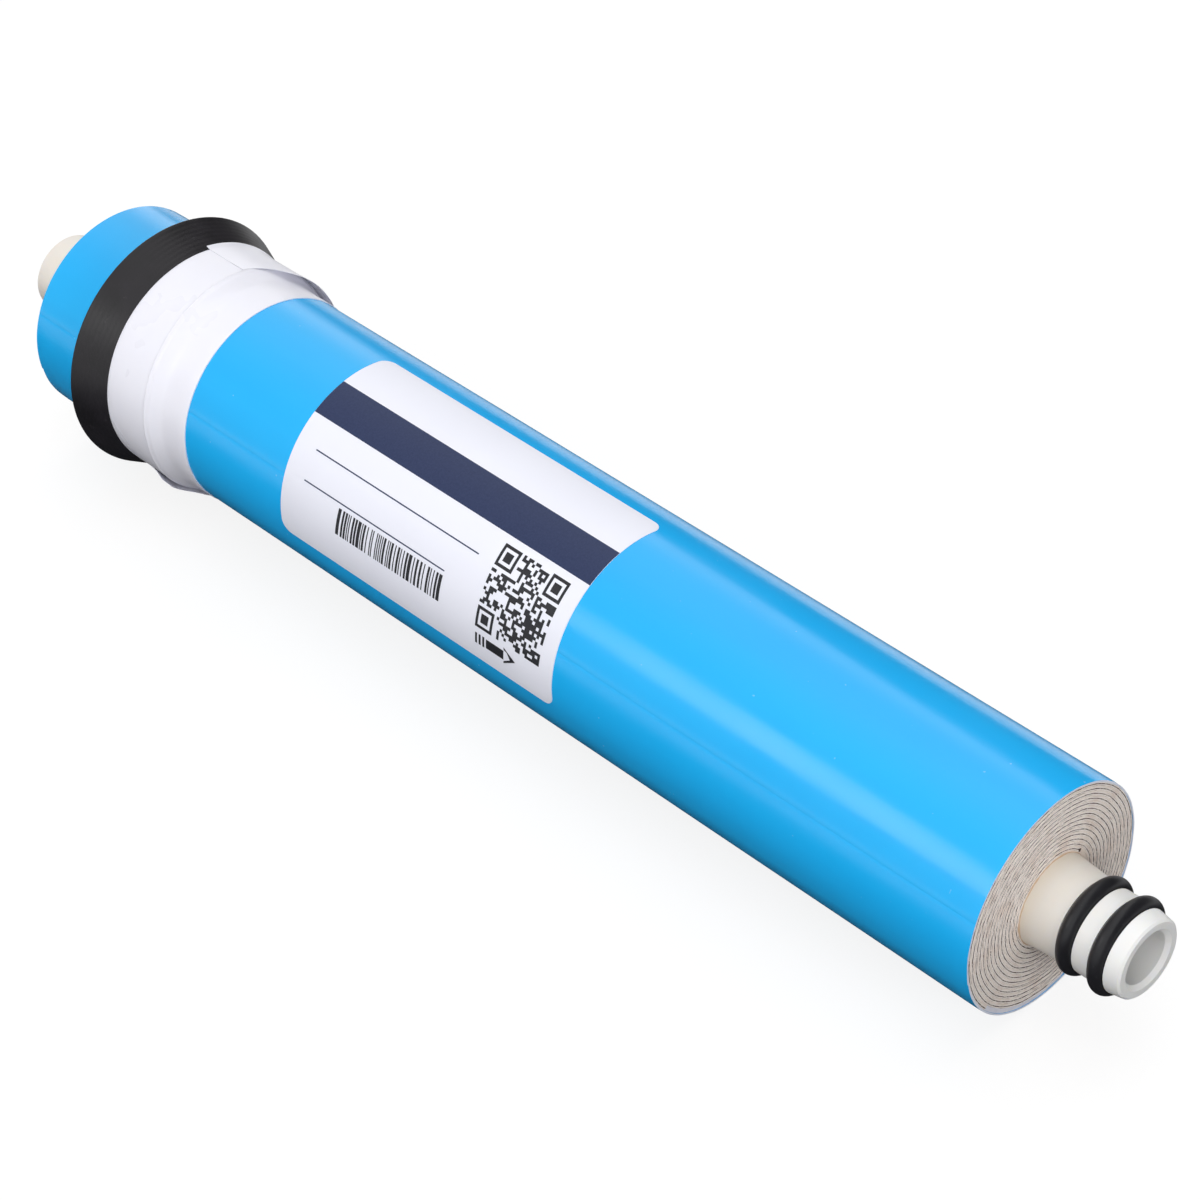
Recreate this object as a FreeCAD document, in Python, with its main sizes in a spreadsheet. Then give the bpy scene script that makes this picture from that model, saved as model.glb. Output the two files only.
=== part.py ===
import FreeCAD, Part
import math
import os
import Sketcher

# Spiral-wound reverse osmosis element, 2012 size, in millimetres.
# The axis of the element is +X, from the feed end to the permeate outlet, and +Z is up.
# The origin is the centre of the feed stub's end face.

DIMENSIONS = {
    # lengths along the axis, from the feed end
    "stub_length": 19.5,
    "body_length": 257.0,
    "spigot_length": 21.5,
    # permeate tube
    "tube_radius": 9.0,
    "stub_radius": 8.5,
    "stub_chamfer": 0.8,
    "land_radius": 8.3,
    "tip_radius": 7.85,
    "tip_edge": 0.4,
    "bore_radius": 5.3,
    "mouth_radius": 6.1,
    "mouth_depth": 0.8,
    "end_wall": 3.0,
    "hole_diameter": 2.0,
    "hole_count": 8,
    "hole_pitch": 30.0,
    "first_hole": 23.5,
    # O-rings and their grooves, with each ring's distance from the collar's face
    "ring_section": 3.1,
    "groove_width": 3.5,
    "groove_radius": 6.5,
    "inner_ring_offset": 9.7,
    "outer_ring_offset": 16.6,
    # sheets of the leaf, wound from the tube outwards
    "carrier_thickness": 0.31,
    "membrane_thickness": 0.16,
    "spacer_thickness": 0.33,
    "spacer_recess": 1.0,
    "half_turns": 27,
    "winding_angle": 41.55,
    "glue_bead": 0.45,
    # blue wrap and its lapped seam
    "body_radius": 22.85,
    "seam_angle": 193.55,
    "seam_step": 0.15,
    "seam_ramp": 10.0,
    # brine seal, whose lip opens towards the feed end
    "sleeve_start": 45.7,
    "sleeve_end": 56.8,
    "sleeve_radius": 24.55,
    "sleeve_slope": 2.2,
    "lip_heel_radius": 24.9,
    "lip_rim": 37.2,
    "lip_radius": 28.0,
    "rim_thickness": 1.1,
    "rim_lean": 0.35,
    "rim_round": 0.3,
    "leg_rim": 38.6,
    "leg_thickness": 0.9,
    "groove_root": 44.2,
    # white tape over the sleeve
    "tape_end": 68.6,
    "tape_thickness": 0.25,
    # label
    "label_start": 98.3,
    "label_length": 77.2,
    "label_first_angle": 74.55,
    "label_arc": 117.0,
    "label_thickness": 0.1,
    "label_corner": 2.5,
}

SHEET = "Dimensions"


def make_sheet(doc):
    """Put every driving dimension in a cell with its own alias."""
    sheet = doc.addObject("Spreadsheet::Sheet", SHEET)
    for row, (alias, value) in enumerate(DIMENSIONS.items(), start=1):
        sheet.set(f"A{row}", alias)
        sheet.set(f"B{row}", str(value))
        sheet.setAlias(f"B{row}", alias)
    doc.recompute()
    return sheet


def cell(alias):
    return f"{SHEET}.{alias}"


def new_body(doc, label):
    body = doc.addObject("PartDesign::Body", label)
    body.Label = label
    return body


def plane_sketch(body, role, name):
    """A sketch on one of the body's own origin planes."""
    plane = next(f for f in body.Origin.OriginFeatures if f.Role == role)
    sketch = body.newObject("Sketcher::SketchObject", name)
    sketch.AttachmentSupport = (plane, [""])
    sketch.MapMode = "FlatFace"
    return sketch


def bind(sketch, kind, first, second, expression):
    """Hold a point at a distance from the sketch's origin that the sheet gives."""
    index = sketch.addConstraint(Sketcher.Constraint(kind, -1, 1, first, second, 1.0))
    sketch.setExpression(f"Constraints[{index}]", expression)


def closed_outline(sketch, corners):
    """Straight-sided closed outline; each corner is a pair of expressions, (along, out)."""
    count = len(corners)
    for i in range(count):
        turn = 2 * math.pi / count
        start = FreeCAD.Vector(10 + math.cos(i * turn), 10 + math.sin(i * turn), 0)
        end = FreeCAD.Vector(10 + math.cos((i + 1) * turn), 10 + math.sin((i + 1) * turn), 0)
        sketch.addGeometry(Part.LineSegment(start, end), False)
    for i in range(count):
        sketch.addConstraint(Sketcher.Constraint("Coincident", i, 2, (i + 1) % count, 1))
    for i, (along, out) in enumerate(corners):
        bind(sketch, "DistanceX", i, 1, along)
        bind(sketch, "DistanceY", i, 1, out)


def revolved(body, corners, name):
    """Turn an outline in the XY plane round the X axis."""
    sketch = plane_sketch(body, "XY_Plane", name + "Profile")
    closed_outline(sketch, corners)
    turn = body.newObject("PartDesign::Revolution", name)
    turn.Profile = sketch
    turn.ReferenceAxis = (sketch, ["H_Axis"])
    turn.Angle = 360
    return turn


def tube_corners():
    """Half section of the permeate tube, from the closed feed end to the open spigot."""
    collar = f"{cell('stub_length')} + {cell('body_length')}"
    tip = f"{collar} + {cell('spigot_length')}"
    half_groove = f"{cell('groove_width')} / 2"
    corners = [
        (cell("end_wall"), "0"),
        ("0", "0"),
        ("0", f"{cell('stub_radius')} - {cell('stub_chamfer')}"),
        (cell("stub_chamfer"), cell("stub_radius")),
        (cell("stub_length"), cell("stub_radius")),
        (cell("stub_length"), cell("tube_radius")),
        (collar, cell("tube_radius")),
    ]
    for ring in ("inner_ring_offset", "outer_ring_offset"):
        near = f"{collar} + {cell(ring)} - {half_groove}"
        far = f"{collar} + {cell(ring)} + {half_groove}"
        corners += [
            (near, cell("land_radius")),
            (near, cell("groove_radius")),
            (far, cell("groove_radius")),
            (far, cell("land_radius")),
        ]
    corners += [
        (f"{tip} - {cell('tip_edge')}", cell("tip_radius")),
        (tip, f"{cell('tip_radius')} - {cell('tip_edge')}"),
        (tip, cell("mouth_radius")),
        (f"{tip} - {cell('mouth_depth')}", cell("bore_radius")),
        (cell("end_wall"), cell("bore_radius")),
    ]
    return corners


def make_permeate_tube(doc):
    """One moulding: blind feed stub, perforated tube under the leaf, collar and O-ring spigot."""
    body = new_body(doc, "permeate_tube")
    revolved(body, tube_corners(), "Tube")
    doc.recompute()
    solid_volume = body.Shape.Volume

    circle_sketch = plane_sketch(body, "XZ_Plane", "HoleCircle")
    circle_sketch.addGeometry(Part.Circle(FreeCAD.Vector(40, 0, 0), FreeCAD.Vector(0, 0, 1), 1), False)
    radius = circle_sketch.addConstraint(Sketcher.Constraint("Radius", 0, 1.0))
    circle_sketch.setExpression(f"Constraints[{radius}]", f"{cell('hole_diameter')} / 2")
    circle_sketch.addConstraint(Sketcher.Constraint("PointOnObject", 0, 3, -1))
    bind(circle_sketch, "DistanceX", 0, 3, f"{cell('stub_length')} + {cell('first_hole')}")
    hole = body.newObject("PartDesign::Pocket", "HolePair")
    hole.Profile = circle_sketch
    hole.Type = "ThroughAll"
    hole.Midplane = True

    row = body.newObject("PartDesign::LinearPattern", "HoleRow")
    row.Originals = [hole]
    row.Direction = (circle_sketch, ["H_Axis"])
    row.setExpression("Length", f"{cell('hole_pitch')} * ({cell('hole_count')} - 1)")
    row.setExpression("Occurrences", cell("hole_count"))
    body.Tip = row
    doc.recompute()
    if body.Shape.Volume >= solid_volume:
        raise RuntimeError("the permeate holes cut nothing")
    return body


def make_o_ring(doc, label, offset):
    """O-ring seated on the bottom of its groove."""
    ring = doc.addObject("Part::Torus", label)
    ring.Label = label
    ring.Placement = FreeCAD.Placement(FreeCAD.Vector(), FreeCAD.Rotation(FreeCAD.Vector(0, 1, 0), 90))
    ring.setExpression("Radius2", f"{cell('ring_section')} / 2")
    ring.setExpression("Radius1", f"{cell('groove_radius')} + {cell('ring_section')} / 2")
    collar = f"{cell('stub_length')} + {cell('body_length')}"
    ring.setExpression("Placement.Base.x", f"{collar} + {cell(offset)}")
    return ring


class Winding:
    """Section of the wound leaf: a spiral of half turns whose centres lie half a pitch apart.

    Half turn k is an arc round (0, 0) when k is even and round (step, 0) when it is odd, and its
    radius grows by one step each time, so neighbouring sheets share exact cylindrical faces.
    """

    def __init__(self, sheet):
        self.carrier = sheet.carrier_thickness
        self.membrane = sheet.membrane_thickness
        self.spacer = sheet.spacer_thickness
        self.pitch = self.carrier + 2 * self.membrane + self.spacer
        self.step = self.pitch / 2
        self.half_turns = int(sheet.half_turns)
        self.inner_radius = sheet.tube_radius
        self.outer_radius = self.inner_radius + self.pitch + (self.half_turns - 1) * self.step
        self.length = sheet.body_length
        self.near_end = sheet.stub_length

    def start_point(self, offset, lift):
        """Where the surface at this offset starts, a short way round from the start line."""
        radius = self.inner_radius + offset
        return FreeCAD.Vector(0, math.sqrt(radius**2 - lift**2), lift)

    def half_turn(self, k, offset, lift=0.0):
        radius = self.inner_radius + offset + k * self.step
        centre = self.step if k % 2 else 0.0
        side = -1 if k % 2 else 1
        start = FreeCAD.Vector(0, centre + side * radius, 0)
        if k == 0:
            start = self.start_point(offset, lift)
        middle = FreeCAD.Vector(0, centre, side * radius)
        end = FreeCAD.Vector(0, centre - side * radius, 0)
        return Part.Arc(start, middle, end).toShape()

    def surface(self, offset, lift=0.0):
        """All the half turns of one face of a sheet, from the tube outwards."""
        return [self.half_turn(k, offset, lift) for k in range(self.half_turns)]

    def tail(self, low, high):
        """Radial edge that ends a sheet on the outside of the roll."""
        k = self.half_turns - 1
        radii = [self.inner_radius + offset + k * self.step for offset in (low, high)]
        ends = [FreeCAD.Vector(0, -radius, 0) for radius in radii]
        return Part.LineSegment(*ends).toShape()

    def nose(self, low, high, lift):
        """Half round that closes a fold at the start of the leaf."""
        first = self.start_point(low, lift)
        last = self.start_point(high, lift)
        tip = (first + last) * 0.5 - FreeCAD.Vector(0, 0, (last.y - first.y) / 2)
        return Part.Arc(first, tip, last).toShape()

    def solid(self, edges, recess=0.0):
        """Extrude a closed section along the axis."""
        face = Part.Face(Part.Wire(edges))
        face.translate(FreeCAD.Vector(self.near_end + recess, 0, 0))
        return face.extrude(FreeCAD.Vector(self.length - 2 * recess, 0, 0))


def add_wound(doc, label, shape, sheet):
    """A piece of the roll, turned to where the leaf starts."""
    piece = doc.addObject("Part::Feature", label)
    piece.Label = label
    piece.Shape = shape
    turned = FreeCAD.Rotation(FreeCAD.Vector(1, 0, 0), sheet.winding_angle)
    piece.Placement = FreeCAD.Placement(FreeCAD.Vector(), turned)
    return piece


def make_permeate_carrier(doc, sheet, winding):
    start = Part.LineSegment(winding.start_point(0, 0), winding.start_point(winding.carrier, 0))
    edges = winding.surface(0) + [winding.tail(0, winding.carrier)]
    edges += winding.surface(winding.carrier)[::-1] + [start.toShape()]
    return add_wound(doc, "permeate_carrier", winding.solid(edges), sheet)


def make_feed_spacer(doc, sheet, winding):
    """Net inside the fold of the membrane, a little short of both ends of the roll."""
    low = winding.carrier + winding.membrane
    high = low + winding.spacer
    lift = winding.membrane + winding.spacer / 2
    edges = winding.surface(low, lift) + [winding.tail(low, high)]
    edges += winding.surface(high, lift)[::-1] + [winding.nose(low, high, lift)]
    return add_wound(doc, "feed_spacer", winding.solid(edges, sheet.spacer_recess), sheet)


def make_membrane_sheet(doc, sheet, winding):
    """One sheet, folded round the feed spacer at the tube and wound with it."""
    outer_low = winding.carrier
    inner_low = outer_low + winding.membrane
    inner_high = inner_low + winding.spacer
    outer_high = inner_high + winding.membrane
    lift = winding.membrane + winding.spacer / 2
    edges = winding.surface(outer_low, lift) + [winding.tail(outer_low, inner_low)]
    edges += winding.surface(inner_low, lift)[::-1] + [winding.nose(inner_low, inner_high, lift)]
    edges += winding.surface(inner_high, lift) + [winding.tail(inner_high, outer_high)]
    edges += winding.surface(outer_high, lift)[::-1] + [winding.nose(outer_low, outer_high, lift)]
    return add_wound(doc, "membrane_sheet", winding.solid(edges), sheet)


def crescent(winding, centred, offset_circle, first, last):
    """Edges of the wedge between a circle round the axis and one a step to the side."""

    def on_centred(angle):
        return FreeCAD.Vector(0, centred * math.cos(angle), centred * math.sin(angle))

    def on_offset(angle):
        across = math.sqrt(offset_circle**2 - (winding.step * math.sin(angle)) ** 2)
        reach = winding.step * math.cos(angle) + across
        return FreeCAD.Vector(0, reach * math.cos(angle), reach * math.sin(angle))

    middle = (first + last) / 2
    return [
        Part.Arc(on_centred(first), on_centred(middle), on_centred(last)).toShape(),
        Part.LineSegment(on_centred(last), on_offset(last)).toShape(),
        Part.Arc(on_offset(last), on_offset(middle), on_offset(first)).toShape(),
        Part.LineSegment(on_offset(first), on_centred(first)).toShape(),
    ]


# a glue wedge ends where it is down to a tenth of a turn's pitch
FEATHER = math.acos(0.8)


def make_core_glue(doc, sheet, winding):
    """Adhesive wedge beside the start of the leaf, with a bead round the collar."""
    edges = crescent(
        winding, winding.inner_radius, winding.inner_radius + winding.step, math.pi + FEATHER, 2 * math.pi
    )
    face_x = sheet.stub_length + sheet.body_length
    bead = sheet.glue_bead
    taper = (sheet.tube_radius - sheet.land_radius) / (sheet.inner_ring_offset - sheet.groove_width / 2)
    corners = [
        FreeCAD.Vector(face_x, sheet.tube_radius, 0),
        FreeCAD.Vector(face_x, sheet.tube_radius + bead, 0),
        FreeCAD.Vector(face_x + bead, sheet.tube_radius - taper * bead, 0),
    ]
    section = Part.Face(Part.makePolygon(corners + corners[:1]))
    ring = section.revolve(FreeCAD.Vector(), FreeCAD.Vector(1, 0, 0), 360)
    return add_wound(doc, "core_glue", winding.solid(edges).fuse(ring), sheet)


def make_tail_glue(doc, sheet, winding):
    """Adhesive wedge that fills the step at the end of the leaf, under the wrap."""
    under = winding.outer_radius - winding.step
    edges = crescent(winding, winding.outer_radius, under, math.pi, 2 * math.pi - FEATHER)
    return add_wound(doc, "tail_glue", winding.solid(edges), sheet)


def make_outer_wrap(doc):
    """Blue tape shell, whose outer edge laps over as a low step with a ramp behind it."""
    body = new_body(doc, "outer_wrap")
    sketch = plane_sketch(body, "YZ_Plane", "WrapSection")
    axis = FreeCAD.Vector(0, 0, 1)
    start = math.radians(DIMENSIONS["seam_ramp"])
    radius = DIMENSIONS["body_radius"]
    outside = Part.ArcOfCircle(Part.Circle(FreeCAD.Vector(), axis, radius), start, 2 * math.pi)
    top = FreeCAD.Vector(radius, 0, 0)
    foot = FreeCAD.Vector(radius - DIMENSIONS["seam_step"], 0, 0)
    ramp_end = FreeCAD.Vector(radius * math.cos(start), radius * math.sin(start), 0)
    sketch.addGeometry(outside, False)
    sketch.addGeometry(Part.LineSegment(top, foot), False)
    sketch.addGeometry(Part.LineSegment(foot, ramp_end), False)
    sketch.addGeometry(Part.Circle(FreeCAD.Vector(), axis, radius - 1), False)
    sketch.addConstraint(Sketcher.Constraint("Coincident", 0, 3, -1, 1))
    sketch.addConstraint(Sketcher.Constraint("Coincident", 3, 3, -1, 1))
    sketch.addConstraint(Sketcher.Constraint("Coincident", 0, 2, 1, 1))
    sketch.addConstraint(Sketcher.Constraint("Coincident", 1, 2, 2, 1))
    sketch.addConstraint(Sketcher.Constraint("Coincident", 2, 2, 0, 1))
    sketch.addConstraint(Sketcher.Constraint("PointOnObject", 0, 2, -1))
    sketch.addConstraint(Sketcher.Constraint("PointOnObject", 1, 2, -1))
    outer = sketch.addConstraint(Sketcher.Constraint("Radius", 0, radius))
    inner = sketch.addConstraint(Sketcher.Constraint("Radius", 3, radius - 1))
    sketch.setExpression(f"Constraints[{outer}]", cell("body_radius"))
    sketch.setExpression(f"Constraints[{inner}]", wound_radius())
    bind(sketch, "DistanceX", 1, 2, f"{cell('body_radius')} - {cell('seam_step')}")
    bind(sketch, "DistanceY", 0, 1, f"{cell('body_radius')} * sin({cell('seam_ramp')} * 1deg)")
    pad = body.newObject("PartDesign::Pad", "WrapLength")
    pad.Profile = sketch
    pad.setExpression("Length", cell("body_length"))
    turned = FreeCAD.Rotation(FreeCAD.Vector(1, 0, 0), DIMENSIONS["seam_angle"])
    body.Placement = FreeCAD.Placement(FreeCAD.Vector(), turned)
    body.setExpression("Placement.Base.x", cell("stub_length"))
    return body


def wound_radius():
    """Outer radius of the wound leaf, as an expression."""
    pitch = f"({cell('carrier_thickness')} + 2 * {cell('membrane_thickness')} + {cell('spacer_thickness')})"
    return f"{cell('tube_radius')} + {pitch} * ({cell('half_turns')} + 1) / 2"


def make_brine_seal(doc):
    """Rubber moulding: a sleeve on the wrap and a lip that opens towards the feed end."""
    skin = cell("body_radius")
    corners = [
        (cell("leg_rim"), skin),
        (cell("leg_rim"), f"{skin} + {cell('leg_thickness')}"),
        (cell("groove_root"), f"{skin} + {cell('leg_thickness')}"),
        (f"{cell('lip_rim')} + {cell('rim_lean')}", f"{cell('lip_radius')} - {cell('rim_thickness')}"),
        (cell("lip_rim"), cell("lip_radius")),
        (cell("sleeve_start"), cell("lip_heel_radius")),
        (cell("sleeve_start"), cell("sleeve_radius")),
        (f"{cell('sleeve_end')} - {cell('sleeve_slope')} / 2", cell("sleeve_radius")),
        (f"{cell('sleeve_end')} + {cell('sleeve_slope')} / 2", skin),
    ]
    body = new_body(doc, "brine_seal")
    turn = revolved(body, corners, "Seal")
    doc.recompute()
    rim = DIMENSIONS["lip_radius"]
    inside = rim - DIMENSIONS["rim_thickness"]
    edges = [
        f"Edge{i}"
        for i, edge in enumerate(turn.Shape.Edges, start=1)
        if isinstance(edge.Curve, Part.Circle) and min(abs(edge.Curve.Radius - r) for r in (rim, inside)) < 1e-6
    ]
    rounded = body.newObject("PartDesign::Fillet", "RimRound")
    rounded.Base = (turn, edges)
    rounded.setExpression("Radius", cell("rim_round"))
    body.Tip = rounded
    return body


def make_seal_tape(doc):
    """White tape wound over the seal's sleeve and down on to the wrap."""
    skin = cell("body_radius")
    thick = cell("tape_thickness")
    slope_start = f"{cell('sleeve_end')} - {cell('sleeve_slope')} / 2"
    slope_end = f"{cell('sleeve_end')} + {cell('sleeve_slope')} / 2"
    corners = [
        (cell("sleeve_start"), cell("sleeve_radius")),
        (slope_start, cell("sleeve_radius")),
        (slope_end, skin),
        (cell("tape_end"), skin),
        (cell("tape_end"), f"{skin} + {thick}"),
        (slope_end, f"{skin} + {thick}"),
        (slope_start, f"{cell('sleeve_radius')} + {thick}"),
        (cell("sleeve_start"), f"{cell('sleeve_radius')} + {thick}"),
    ]
    body = new_body(doc, "seal_tape")
    revolved(body, corners, "Tape")
    return body


def label_frame(sheet):
    """Placement of the label: local z runs along the element and local x is the label's first edge."""
    along_x = FreeCAD.Rotation(FreeCAD.Vector(1, 1, 1), 120)
    turned = FreeCAD.Rotation(FreeCAD.Vector(1, 0, 0), sheet.label_first_angle)
    return FreeCAD.Placement(FreeCAD.Vector(sheet.label_start, 0, 0), turned * along_x)


def label_cylinder(doc, sheet, name, radius):
    cylinder = doc.addObject("Part::Cylinder", name)
    cylinder.setExpression("Radius", radius)
    cylinder.setExpression("Height", cell("label_length"))
    cylinder.setExpression("Angle", cell("label_arc"))
    cylinder.Placement = label_frame(sheet)
    return cylinder


def corner_cutter(sheet, side, end):
    """What rounding takes off one corner of the label: a block less a pin, standing radially.

    side is 1 at the label's last edge and -1 at its first; end is 1 at its far end and -1 at its near.
    """
    size = sheet.label_corner
    depth = 2.0
    reach = size + 1.0
    low = FreeCAD.Vector(-size if side > 0 else -1.0, -size if end > 0 else -1.0, -depth)
    block = Part.makeBox(reach, reach, 2 * depth, low)
    pin = Part.makeCylinder(size, 2 * depth, FreeCAD.Vector(-side * size, -end * size, -depth))
    cutter = block.cut(pin)
    angle = math.radians(sheet.label_arc if side > 0 else 0.0)
    outward = FreeCAD.Vector(math.cos(angle), math.sin(angle), 0)
    around = FreeCAD.Vector(-math.sin(angle), math.cos(angle), 0)
    along = FreeCAD.Vector(0, 0, 1)
    corner = outward * sheet.body_radius + along * (sheet.label_length if end > 0 else 0.0)
    cutter.Placement = FreeCAD.Placement(corner, FreeCAD.Rotation(around, along, outward, "ZXY"))
    return cutter


def make_label(doc, sheet):
    """Thin curved sheet on the wrap, with rounded corners."""
    outside = label_cylinder(doc, sheet, "LabelOutside", f"{cell('body_radius')} + {cell('label_thickness')}")
    inside = label_cylinder(doc, sheet, "LabelInside", cell("body_radius"))
    blank = doc.addObject("Part::Cut", "LabelBlank")
    blank.Base = outside
    blank.Tool = inside
    cutters = doc.addObject("Part::Feature", "LabelCorners")
    cutters.Shape = Part.makeCompound([corner_cutter(sheet, side, end) for side in (-1, 1) for end in (-1, 1)])
    cutters.Placement = label_frame(sheet)
    label = doc.addObject("Part::Cut", "label")
    label.Label = "label"
    label.Base = blank
    label.Tool = cutters
    return label


def check(doc, pieces):
    """Stop if anything in the document failed, or a piece is not one valid solid."""
    for item in doc.Objects:
        if "Invalid" in item.State or "Error" in item.State:
            raise RuntimeError(f"{item.Label} failed: {item.State}")
    for piece in pieces:
        shape = piece.Shape
        if shape.isNull() or not shape.isValid() or len(shape.Solids) != 1:
            raise RuntimeError(f"{piece.Label} is not one valid solid")


def main():
    doc = FreeCAD.newDocument("MembraneElement")
    sheet = make_sheet(doc)
    winding = Winding(sheet)
    pieces = [
        make_permeate_tube(doc),
        make_o_ring(doc, "inner_o_ring", "inner_ring_offset"),
        make_o_ring(doc, "outer_o_ring", "outer_ring_offset"),
        make_permeate_carrier(doc, sheet, winding),
        make_feed_spacer(doc, sheet, winding),
        make_membrane_sheet(doc, sheet, winding),
        make_core_glue(doc, sheet, winding),
        make_tail_glue(doc, sheet, winding),
        make_outer_wrap(doc),
        make_brine_seal(doc),
        make_seal_tape(doc),
        make_label(doc, sheet),
    ]
    doc.recompute()
    check(doc, pieces)
    os.makedirs("parts", exist_ok=True)
    for piece in pieces:
        piece.Shape.exportStep(f"parts/{piece.Label}.step")
        box = piece.Shape.BoundBox
        print(f"{piece.Label}: {piece.Shape.Volume:.0f} mm3, x {box.XMin:.2f} to {box.XMax:.2f}")


main()
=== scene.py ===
import math
import random

import bmesh
import bpy
from mathutils import Matrix, Vector, noise


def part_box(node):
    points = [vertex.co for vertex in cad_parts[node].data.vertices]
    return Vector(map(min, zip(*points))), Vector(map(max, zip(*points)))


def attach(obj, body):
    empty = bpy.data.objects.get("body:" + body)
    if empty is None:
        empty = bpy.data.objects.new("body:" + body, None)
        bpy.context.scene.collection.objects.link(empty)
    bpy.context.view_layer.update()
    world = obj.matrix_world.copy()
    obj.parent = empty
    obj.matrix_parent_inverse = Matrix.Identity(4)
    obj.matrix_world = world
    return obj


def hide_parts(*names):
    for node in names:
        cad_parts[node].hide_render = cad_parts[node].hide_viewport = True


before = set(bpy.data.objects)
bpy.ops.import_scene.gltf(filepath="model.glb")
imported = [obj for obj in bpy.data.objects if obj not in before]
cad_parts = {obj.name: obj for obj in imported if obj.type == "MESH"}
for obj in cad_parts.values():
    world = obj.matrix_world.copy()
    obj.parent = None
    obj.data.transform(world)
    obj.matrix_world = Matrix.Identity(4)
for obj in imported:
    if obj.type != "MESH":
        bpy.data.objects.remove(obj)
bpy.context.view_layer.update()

# Lengths below are millimetres along the element's axis (+X) and out from it. Angles are degrees
# round the axis from the line that faces the viewer (0), growing towards the underside.
MM = 0.001
VIEWED_SIDE = 131.55

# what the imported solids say
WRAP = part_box("outer_wrap")
ROLL_START = WRAP[0].x / MM
ROLL_END = WRAP[1].x / MM
WRAP_RADIUS = WRAP[1].z / MM
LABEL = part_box("label")
LABEL_START = LABEL[0].x / MM
LABEL_END = LABEL[1].x / MM
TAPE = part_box("seal_tape")
TAPE_START = TAPE[0].x / MM
TAPE_END = TAPE[1].x / MM
RIM_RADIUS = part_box("brine_seal")[1].z / MM
RIM_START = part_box("brine_seal")[0].x / MM

# outsides of the tape's first turn and of the seal's lip where it leaves the sleeve
SLEEVE_RADIUS = 24.8
HEEL_RADIUS = 24.9

# the wound leaf: offsets of each sheet's faces within one turn
TUBE_RADIUS = 9.0
PITCH = 0.96
STEP = PITCH / 2
TURNS = 13.5
WINDING_START = 41.55 - VIEWED_SIDE
LEAF_RADIUS = 22.44
SHEETS = {
    "carrier": (0.0, 0.31),
    "film_inner": (0.31, 0.56),
    "spacer": (0.56, 0.72),
    "film_outer": (0.72, 0.96),
}

# the blue wrap: angle, height and run-out of its lapped seam, and the angle of the line its tape leaves
SEAM = 62.0
SEAM_STEP = 0.15
SEAM_RAMP = 10.0
TAPE_LINE = 28.0

# a face is a side if its normal leans less than this along the axis, and an end if it leans more
SIDE_LEAN = 0.4
END_LEAN = 0.7


# ---------------------------------------------------------------- mesh helpers

def polar(x, radius, angle):
    """Point in metres from millimetres along, millimetres out and degrees round."""
    turn = math.radians(angle + VIEWED_SIDE)
    return Vector((x, radius * math.cos(turn), radius * math.sin(turn))) * MM


def smooth(value, low, high):
    """0 below low, 1 above high, and a soft ramp between."""
    part = min(1.0, max(0.0, (value - low) / (high - low)))
    return part * part * (3 - 2 * part)


def ripple(x, radius, angle, size, seed=0.0):
    """Smooth noise from -1 to 1 with features of about this many millimetres."""
    place = polar(x, radius, angle) / MM / size
    return noise.noise(place + Vector((seed, -seed, 2 * seed)))


def piece_from(name, points, faces, material, replaces=(), sharp=34):
    """A shown piece of the element, smooth shaded with its sharp edges kept."""
    mesh = bpy.data.meshes.new(name)
    mesh.from_pydata([tuple(p) for p in points], [], faces)
    shape = bmesh.new()
    shape.from_mesh(mesh)
    bmesh.ops.recalc_face_normals(shape, faces=shape.faces)
    for face in shape.faces:
        face.smooth = True
    for edge in shape.edges:
        edge.smooth = edge.calc_face_angle(0) < math.radians(sharp)
    shape.to_mesh(mesh)
    shape.free()
    piece = bpy.data.objects.new(name, mesh)
    bpy.context.scene.collection.objects.link(piece)
    mesh.materials.append(material)
    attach(piece, "root")
    if replaces:
        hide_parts(*replaces)
    return piece


def swept(rings, closed_path=False):
    """Points and faces of closed rings joined in a row, capped at both ends unless the row closes."""
    size = len(rings[0])
    points = [point for ring in rings for point in ring]
    faces = []
    steps = len(rings) if closed_path else len(rings) - 1
    for i in range(steps):
        here, there = i * size, (i + 1) % len(rings) * size
        for j in range(size):
            k = (j + 1) % size
            faces.append((here + j, here + k, there + k, there + j))
    if not closed_path:
        faces.append(tuple(range(size)))
        faces.append(tuple(range((len(rings) - 1) * size, len(rings) * size)))
    return points, faces


# ---------------------------------------------------------------- node helpers

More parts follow.
